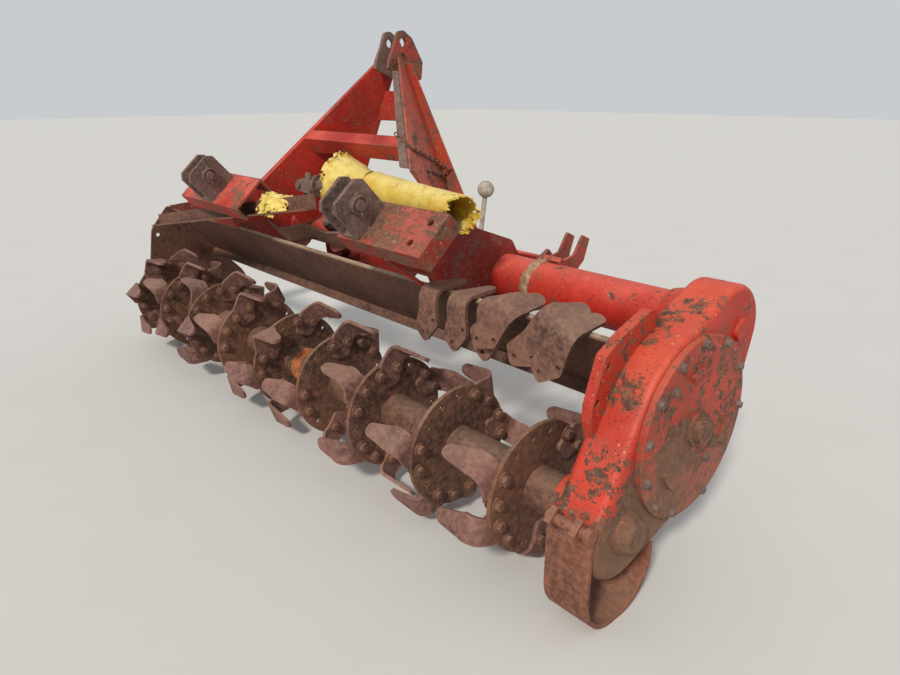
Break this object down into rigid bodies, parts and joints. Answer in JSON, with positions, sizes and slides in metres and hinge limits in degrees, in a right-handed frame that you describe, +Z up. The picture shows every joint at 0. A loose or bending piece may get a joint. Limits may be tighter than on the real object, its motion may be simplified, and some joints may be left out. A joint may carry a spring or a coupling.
{
  "type": "rotavator",
  "caption": "Side-driven tractor rotavator with free-turning tined rotor, parked tipped back on side plates and shoe, with mast, hitch clevises and drive shaft remnant.",
  "frame": {"origin": "middle of the whole object's box, on the floor it stands on", "axes": "+X along the rotor towards the gear case, +Y to the side away from the hitch as parked, +Z up"},
  "size_m": [2.423, 0.6952, 1.1926],
  "materials": {
    "rotor_rust": "rusty, with soil in the corners",
    "tine_rust": "rusty, worn bright at the edges",
    "case_paint": "worn orange-red paint over casting, with brown rust",
    "hood_paint": "worn orange-red paint with broad rust",
    "mast_paint": "worn orange-red paint, rust at the edges",
    "plate_rust": "brown rust over old paint",
    "clevis_rust": "bare rusty iron",
    "guard_plastic": "brittle yellow plastic, torn",
    "steel_worn": "bare steel, dull and stained",
    "spare_paint": "paint-stained spare tines",
    "knob_pale": "faded plastic knob and rusty stem"
  },
  "bodies": {
    "root": {"angle_rail": "plate_rust", "beam_end_plate": "hood_paint", "beam_left": "hood_paint", "beam_pad": "case_paint", "beam_right": "hood_paint", "bent_plate": "plate_rust", "case_shoe": "plate_rust", "clevis_left": "clevis_rust", "clevis_right": "clevis_rust", "gear_case": "case_paint", "gear_cover": "case_paint", "gearbox": "case_paint", "headstock_left": "hood_paint", "headstock_right": "hood_paint", "hinge_bracket": "hood_paint", "hitch_arm_left": "hood_paint", "hitch_arm_right": "hood_paint", "hitch_pin_left": "clevis_rust", "hitch_pin_right": "clevis_rust", "hood_deck": "hood_paint", "hood_lip_rail": "steel_worn", "left_bearing": "plate_rust", "left_skid": "plate_rust", "lever": "knob_pale", "mast_brace": "plate_rust", "mast_cross_bar": "mast_paint", "mast_ear_left": "clevis_rust", "mast_ear_right": "clevis_rust", "mast_gusset": "mast_paint", "mast_leg_left": "mast_paint", "mast_leg_right": "mast_paint", "pto_cone": "guard_plastic", "pto_tube": "guard_plastic", "pto_yoke": "clevis_rust", "rotor_cap": "case_paint", "shoe_clamp": "plate_rust", "side_plate_left": "plate_rust", "side_plate_right": "hood_paint", "spare_tines": "spare_paint", "stay_bracket": "case_paint", "strut_rod": "steel_worn"},
    "rotor": {"rotor_shaft": "rotor_rust", "tines_1": "tine_rust", "tines_2": "tine_rust", "tines_3": "tine_rust", "tines_4": "tine_rust", "tines_5": "tine_rust", "tines_6": "tine_rust", "tines_7": "tine_rust", "tines_8": "tine_rust", "tines_9": "tine_rust"},
    "input": {"input_shaft": "steel_worn"}
  },
  "joints": [
    {"name": "rotor_spin", "type": "hinge", "parent": "root", "child": "rotor", "pos_m": [-0.0515, -0.14632, 0.211], "axis": [1, 0, 0], "continuous": true},
    {"name": "input_spin", "type": "hinge", "parent": "root", "child": "input", "pos_m": [-0.0365, 0.01314, 0.60978], "axis": [0, -0.6717, 0.7408], "continuous": true}
  ],
  "couplings": [
    {"joint": "input_spin", "follows": "rotor_spin", "ratio": 2.6}
  ]
}
